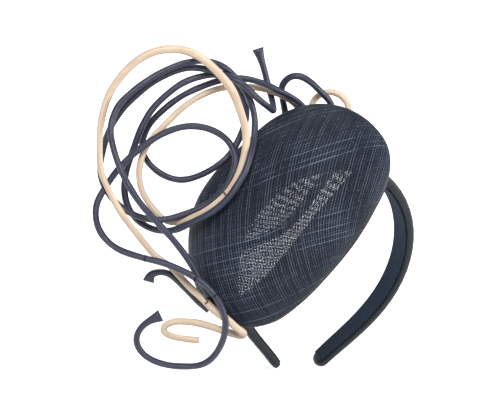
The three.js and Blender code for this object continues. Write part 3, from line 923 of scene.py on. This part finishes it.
def cloth_inside_facing(flat):
    """Which flat cloth positions lie between the opening and the rolled edge."""
    angle = np.arctan2(flat[:, 1], flat[:, 0])
    radius = np.hypot(flat[:, 0], flat[:, 1])
    return (radius >= opening_radius(angle)) & (radius <= rim_radius(angle) * FACING_SHARE)


facing_sizes = {
    "half_length": FACING_HALF, "half_width": FACING_HALF, "bend": laid_flat,
    "inside": cloth_inside_facing, "tones_and_glints": TONES, "pitch": FACING_PITCH, "width": FACING_THREAD,
}
woven("base_facing_weave", SINAMAY_INNER, "sinamay", ["base_facing"], [
    {**facing_sizes, "turn": BIAS + 0.1, "depth": 0.3 * MM},
    {**facing_sizes, "turn": BIAS + 0.1 + math.pi / 2, "depth": 0.6 * MM},
], seed=13)

# %% [markdown]
# A bias stay crosses the opening, so that the base keeps its shape. The opening and the lower
# edge are bound, and a wrapped wire inside the rolled edge holds the teardrop. The stay is
# woven like the cloth, from short threads bent to its route, and the edges are swept sections.

# %% Stay across the opening
STAY_ROUTE = [(48, 14), (22, 8), (-8, 6), (-36, 17), (-58, 22)]
stay_route, stay_length = smooth_path([(x * MM, y * MM, 0) for x, y in STAY_ROUTE], 1 * MM)
stay_along = np.linspace(0, stay_length, len(stay_route))
stay_points = np.array(stay_route)


def along_stay(flat, depth):
    """Bends a straight strip to the stay's route: x is across it and y along it."""
    s = np.clip(flat[:, 1] + stay_length / 2, 0, stay_length)
    x = np.interp(s, stay_along, stay_points[:, 0])
    y = np.interp(s, stay_along, stay_points[:, 1])
    tx = np.interp(s, stay_along, np.gradient(stay_points[:, 0], stay_along))
    ty = np.interp(s, stay_along, np.gradient(stay_points[:, 1], stay_along))
    return np.stack([x - ty * flat[:, 0], y + tx * flat[:, 0], np.full(len(flat), depth)], axis=1)


STAY_HALF = 3.2 * MM
STAY_PITCH, STAY_THREAD = 1.0 * MM, 0.75 * MM


def inside_stay(flat):
    """Which flat cloth positions lie on the stay."""
    return (np.abs(flat[:, 0]) < STAY_HALF) & (np.abs(flat[:, 1]) < stay_length / 2)


stay_sizes = {"bend": along_stay, "inside": inside_stay, "tones_and_glints": TONES, "width": STAY_THREAD,
              "pitch": STAY_PITCH}
woven("opening_stay_weave", SINAMAY_INNER, "sinamay", ["opening_stay"], [
    {**stay_sizes, "half_length": stay_length / 2, "half_width": STAY_HALF, "turn": 0.0,
     "depth": 1.4 * MM},
    {**stay_sizes, "half_length": STAY_HALF, "half_width": stay_length / 2, "turn": math.pi / 2,
     "depth": 1.7 * MM},
], seed=14)


# %% Bound edges and the wire in the rim
RIM_STEPS, OPENING_STEPS = 300, 200
RIM_CLOTH_LENGTH, OPENING_CLOTH_LENGTH = 0.4, 0.3  # metres round each edge, for its UV map
BINDING_SHARE, BINDING_HEIGHT, BINDING_RADIUS = 0.955, 0.5 * MM, 0.8 * MM
WIRE_SHARE, WIRE_HEIGHT, WIRE_RADIUS = 0.938, 4.8 * MM, 0.6 * MM
EDGE_SHARE, EDGE_HEIGHT = 1.03, -0.7 * MM
EDGE_FLAT, EDGE_HALF, EDGE_THICKNESS = 1.6 * MM, 1.8 * MM, 0.2 * MM


def outline_path(radius, share, height, steps):
    """Points round the base, at a share of an outline's radius and a height above its plane."""
    path = []
    for k in range(steps):
        a = 2 * math.pi * k / steps - math.pi
        r = float(radius(a)) * share
        path.append(BASE @ Vector((HUB[0] + r * math.cos(a), HUB[1] + r * math.sin(a), height)))
    return path


def round_section(radius, sides):
    ring = [2 * math.pi * k / sides for k in range(sides)]
    return [(radius * math.cos(a), radius * math.sin(a)) for a in ring]


def edge_section(i):
    """A flat folded strip with a thin edge on each side."""
    return [(-EDGE_FLAT, -EDGE_THICKNESS), (EDGE_FLAT, -EDGE_THICKNESS), (EDGE_HALF, 0),
            (EDGE_FLAT, EDGE_THICKNESS), (-EDGE_FLAT, EDGE_THICKNESS), (-EDGE_HALF, 0)]


binding_path = outline_path(rim_radius, BINDING_SHARE, BINDING_HEIGHT, RIM_STEPS)
binding_frames = frames_along(binding_path, up_axis, closed=True)
binding = sweep("rim_bound_edge", binding_frames, lambda i: round_section(BINDING_RADIUS, 8),
                RIM_CLOTH_LENGTH, closed=True)
dress(binding, BINDING, "rim_binding", "rim_binding")

wire_path = outline_path(rim_radius, WIRE_SHARE, WIRE_HEIGHT, RIM_STEPS)
wire_frames = frames_along(wire_path, up_axis, closed=True)
wire = sweep("rim_wrapped_wire", wire_frames, lambda i: round_section(WIRE_RADIUS, 6),
             RIM_CLOTH_LENGTH, closed=True)
dress(wire, WIRE_WRAP, "millinery_wire", "rim_wire")

opening_path = outline_path(opening_radius, EDGE_SHARE, EDGE_HEIGHT, OPENING_STEPS)
opening_frames = frames_along(opening_path, up_axis, closed=True)
opening_edge = sweep("opening_bound_edge", opening_frames, edge_section, OPENING_CLOTH_LENGTH,
                     closed=True)
dress(opening_edge, BINDING, "sinamay", "opening_binding")

# %% Hidden pieces keep their CAD shape
refinish("band_core", WIRE_WRAP)
refinish("band_padding", FELT)
refinish("spray_anchor_patch", FELT)
print("core, padding and patch finished")

# %% [markdown]
# ## Spray of rouleaux
# A rouleau is a narrow bias tube of satin, turned right side out and threaded with a fine wire
# so that it holds a curve. It is never quite round: it creases where it bends, has a seam down
# one side, is pressed flat along some stretches, and opens out where it is cut. A curve with a
# round bevel would be quicker, but its section would be the same all the way, so a ring is
# carried along the route instead and changes as it goes.

# %% Frame and routes of the spray
SPRAY_ANCHOR = BASE @ (Vector((-74, 5, 8)) * MM)
SPRAY = Matrix.Translation(SPRAY_ANCHOR) @ view_turned.to_4x4()
NAVY_RADIUS = 1.95 * MM
NUDE_RADIUS = 1.9 * MM

NAVY_LONG_ROUTE = [
    (1, 3, 18), (-5, 15, 18), (-12, 27, 18), (-22, 40, 20), (-32, 51, 24), (-40, 60, 26),
    (-48, 72, 26), (-54, 84, 25), (-58, 96, 23), (-60, 108, 20), (-56, 121, 18), (-48, 130, 16),
    (-36, 139, 15), (-23, 146, 14), (-11, 150, 12), (-2, 151, 11), (7, 149, 9), (15, 144, 5),
    (20, 138, 3), (25, 131, 2), (28, 124, 3), (30, 116, 3), (30, 107, 5), (29, 98, 10), (27, 90, 15),
    (24, 81, 18), (18, 71, 19), (12, 63, 19), (2, 55, 17), (-10, 49, 13), (-22, 44, 7), (-35, 45, 1),
    (-45, 51, -1), (-51, 60, -3), (-53, 70, -4), (-52, 80, -4), (-49, 90, -2), (-45, 101, 0),
    (-41, 111, 0), (-35, 121, 0), (-26, 130, 0), (-15, 138, 0), (-3, 142, 0), (7, 143, -1),
    (14, 140, -3), (21, 133, -4), (24, 125, -5), (25, 117, -7), (23, 110, -8), (19, 100, -7),
    (14, 92, -5), (6, 85, -5), (-5, 79, -7), (-17, 76, -9), (-28, 79, -10), (-37, 86, -10),
    (-42, 95, -10), (-41, 104, -9), (-37, 112, -8), (-27, 122, -8), (-16, 130, -8), (-3, 136, -8),
    (9, 140, -8), (23, 141, -9), (35, 138, -9), (46, 133, -13), (56, 128, -22), (63, 122, -31),
    (63, 114.6, -31),
]
NAVY_TAILED_ROUTE = [
    (-29, -9, 12), (-40, -15, 10), (-45, -24, 8), (-41, -33, 8), (-30, -39, 10), (-15, -41, 12),
    (-1, -39, 15), (8, -29, 19), (12, -14, 24), (8, 0, 25), (0, 10, 24), (-12, 18, 23),
    (-26, 24, 21), (-42, 28, 19), (-58, 34, 14), (-68, 45, 10), (-70, 59, 8), (-63, 73, 7),
    (-53, 86, 8), (-39, 98, 8), (-26, 106, 8), (-12, 110, 6), (2, 108, 5), (13, 101, 4),
    (18, 90, 6), (16, 79, 9), (10, 69, 10), (-1, 60, 8), (-13, 55, 8), (-27, 51, 9),
    (-40, 52, 8), (-53, 58, 6), (-63, 68, 1), (-68, 81, 0), (-66, 95, 1), (-62, 107, 5),
    (-56, 117, 8), (-46, 128, 8), (-35, 137, 8), (-22, 144, 7), (-9, 147, 6), (3, 145, 4),
    (14, 141, 9), (23, 136, 12), (31, 128, 8), (39, 122, 0), (42, 120, -8), (42, 123, -16),
    (41, 129, -22), (39, 136, -24), (36, 148, -24), (32, 161, -22),
]
NUDE_LONG_ROUTE = [
    (-5, -25, 6), (-14, -24, 6), (-24, -22, 7), (-29, -18, 8), (-22, -13, 8), (-14, -13, 8),
    (-5, -14, 8), (5, -17, 9), (14, -20, 9), (22, -22, 11), (24, -20, 16), (19, -17, 19),
    (13, -11, 19), (5, -6, 17), (0, -1, 14), (-11, 9, 12), (-24, 23, 13), (-32, 28, 13),
    (-42, 40, 14), (-50, 50, 14), (-57, 61, 15), (-62, 71, 15), (-66, 80, 15), (-67, 91, 15),
    (-67, 104, 15), (-66, 113, 15), (-64, 122, 15), (-60, 132, 15), (-55, 139, 16), (-49, 146, 17),
    (-36, 155, 18), (-22, 158, 18), (-14, 157, 18), (-6, 154, 18), (2, 148, 18), (9, 141, 17),
    (16, 132, 16), (20, 122, 14), (23, 113, 12), (25, 104, 11), (24, 94, 12), (22, 85, 13),
    (18, 75, 14), (13, 68, 14), (7, 62, 13), (-3, 55, 11), (-13, 51, 7), (-24, 49, 2),
    (-30, 53, 1), (-36, 60, 1), (-41, 68, 2), (-43, 76, 2), (-43, 84, 2), (-41, 92, 2),
    (-37, 100, 1), (-31, 107, 0), (-24, 114, -2), (-16, 122, -4), (-6, 129, -7), (5, 134, -10),
    (15, 136, -13), (25, 136, -15), (35, 135, -17), (47, 131, -21), (57, 125, -30), (60, 118.5, -34.6),
    (58.4, 110.7, -31.3),
]
NAVY_BACK_ROUTE = [
    (50, 110.3, -33.6), (50, 120, -35), (48, 129, -31), (47, 136, -26), (51, 142, -22), (57, 144, -20),
    (64, 141, -20), (70, 136, -22), (75, 131, -25), (80, 126, -28), (80, 117, -26.5),
]
NUDE_BACK_ROUTE = [
    (67, 118.5, -31.4), (67, 126, -36), (71, 131, -33), (78, 134, -32), (85, 132, -31), (90, 127, -31),
    (91.5, 120, -28.7), (87.6, 114, -23.4),
]
NAVY_SHORT_ROUTE = [
    (-37, 12, 4), (-36, 17, 5), (-30, 18, 6), (-25, 18, 7), (-19, 13, 7), (-12, 6, 7), (-5, -1, 8),
    (1, -6, 10),
]
print("spray is sewn on at", [round(v, 4) for v in SPRAY_ANCHOR])


# %% Ease a route and set its frames
SPACING = 1.6 * MM
SMOOTHING_PASSES = 9


def eased(path):
    """Takes small kinks out of a path by pulling each point towards its neighbours."""
    points = np.array(path)
    for _ in range(SMOOTHING_PASSES):
        points[1:-1] += 0.5 * ((points[:-2] + points[2:]) / 2 - points[1:-1])
    return [Vector(p) for p in points]


def facing_frames(path, direction):
    """Frames whose side lies square to one direction, so a section can be flat towards it."""
    frames = []
    for i, point in enumerate(path):
        tangent = (path[min(i + 1, len(path) - 1)] - path[max(i - 1, 0)]).normalized()
        side = tangent.cross(direction).normalized()
        frames.append((point, tangent, side.cross(tangent), side))
    return frames


# %% A turned tube
SIDES = 14
FLARE_LENGTH = 13 * MM
CREASE_WAVES = 7
SEAM_RIDGE = 0.07
SEAM_TWIST = 6  # radians that the seam winds round the tube in each metre
TUBE_WIDE, TUBE_THIN = 1.06, 0.92
SPREAD_THINS = 0.4


def rouleau(name, route, radius, material, slot, node, seed, flares=(0, 0), pressed=()):
    """A wired satin tube along a route, with a seam, small creases and opened-out ends.

    pressed lists (from, to, amount): the tube is flatter between those shares of its length.
    """
    path, length = smooth_path([SPRAY @ (Vector(p) * MM) for p in route], SPACING)
    path = eased(path)
    frames = facing_frames(path, towards_camera)
    rng = random.Random(seed)
    waves = [(rng.uniform(60, 420), rng.uniform(0, 6.28), rng.uniform(0.006, 0.02))
             for _ in range(CREASE_WAVES)]
    seam = rng.uniform(0, 2 * math.pi)
    gap = length / (len(path) - 1)

    def section(i):
        along = i * gap
        swell = 1 + sum(size * math.sin(beat * along + phase) for beat, phase, size in waves)
        open_start = max(0.0, 1 - along / FLARE_LENGTH) ** 2 * flares[0]
        open_end = max(0.0, 1 - (length - along) / FLARE_LENGTH) ** 2 * flares[1]
        spread = open_start + open_end
        for first, last, amount in pressed:
            share = min(1, max(0, (along / length - first) / (last - first)))
            spread += amount * math.sin(math.pi * share) ** 0.7
        ring = []
        for k in range(SIDES):
            a = 2 * math.pi * k / SIDES
            on_seam = math.cos((a - seam - along * SEAM_TWIST) / 2) ** 16
            r = radius * swell * (1 + SEAM_RIDGE * on_seam)
            ring.append((r * math.cos(a) * (TUBE_WIDE + spread),
                         r * math.sin(a) * (TUBE_THIN - SPREAD_THINS * min(1, spread))))
        return ring

    tube = sweep(name, frames, section, length)
    dress(tube, material, slot, node)
    print(name, "is", round(length / MM), "mm long")


# %% The six rouleaux
rouleau("navy_rouleau_long", NAVY_LONG_ROUTE, NAVY_RADIUS, NAVY_SATIN, "navy_satin",
        "rouleau_navy_long", 21)
rouleau("navy_rouleau_tailed", NAVY_TAILED_ROUTE, NAVY_RADIUS, NAVY_SATIN, "navy_satin",
        "rouleau_navy_tailed", 22, (0.95, 0.95))
rouleau("nude_rouleau_long", NUDE_LONG_ROUTE, NUDE_RADIUS, NUDE_SATIN, "nude_satin",
        "rouleau_nude_long", 23, pressed=((0.04, 0.24, 0.2), (0.36, 0.64, 0.32)))
rouleau("navy_rouleau_back", NAVY_BACK_ROUTE, NAVY_RADIUS, NAVY_SATIN, "navy_satin",
        "rouleau_navy_back", 24)
rouleau("nude_rouleau_back", NUDE_BACK_ROUTE, NUDE_RADIUS, NUDE_SATIN, "nude_satin",
        "rouleau_nude_back", 25)
rouleau("navy_rouleau_short", NAVY_SHORT_ROUTE, NAVY_RADIUS, NAVY_SATIN, "navy_satin",
        "rouleau_navy_short", 26, (0.8, 0))

# %% [markdown]
# ## Stitches
# Black thread ties the tubes to each other where they cross, and ties the base to the band.

# %% Thread wraps round the tubes
THREAD_RADIUS = 0.15 * MM
WRAP_TURNS = 3
WRAP_STEPS = 20
WRAP_LENGTH = 1.3  # mm of tube that a wrap covers
WRAP_GAP = 0.12 * MM
WRAP_CLOTH_LENGTH = 0.05
WRAPS = [  # middle, direction of the tube, and the tube's radius
    ((12, 67, 13.8), (-0.7, -0.7, -0.1), NUDE_RADIUS),
    ((0, -1, 14), (-0.7, 0.7, 0), NUDE_RADIUS),
    ((5.4, 4, 24.7), (-0.6, 0.8, 0), NAVY_RADIUS),
    ((-7, 14.6, 23.6), (-0.8, 0.55, 0), NAVY_RADIUS),
    ((-38.5, 27, 19.4), (-1, 0.2, 0), NAVY_RADIUS),
]


def thread_wrap(name, centre, along, radius, node):
    """Three turns of thread round one tube."""
    middle = Vector(centre) * MM
    axis = Vector(along).normalized()
    first = axis.orthogonal().normalized()
    second = axis.cross(first)
    points = []
    for k in range(WRAP_TURNS * WRAP_STEPS + 1):
        a = 2 * math.pi * k / WRAP_STEPS
        shift = axis * (k / (WRAP_TURNS * WRAP_STEPS) - 0.5) * WRAP_LENGTH * MM
        around = (first * math.cos(a) + second * math.sin(a)) * radius
        points.append(SPRAY @ (middle + shift + around))
    frames = frames_along(points, towards_camera)
    wrap = sweep(name, frames, lambda i: round_section(THREAD_RADIUS, 6), WRAP_CLOTH_LENGTH)
    dress(wrap, BLACK_THREAD, "thread", node)


for number, (centre, along, tube_radius) in enumerate(WRAPS, start=1):
    thread_wrap(f"thread_wrap_{number}", centre, along, tube_radius + WRAP_GAP,
                f"thread_knot_{number}")

# %% Thread ties between the base and the band
for number in (1, 2, 3):
    refinish(f"band_tie_{number}", BLACK_THREAD)
print("three ties finished")
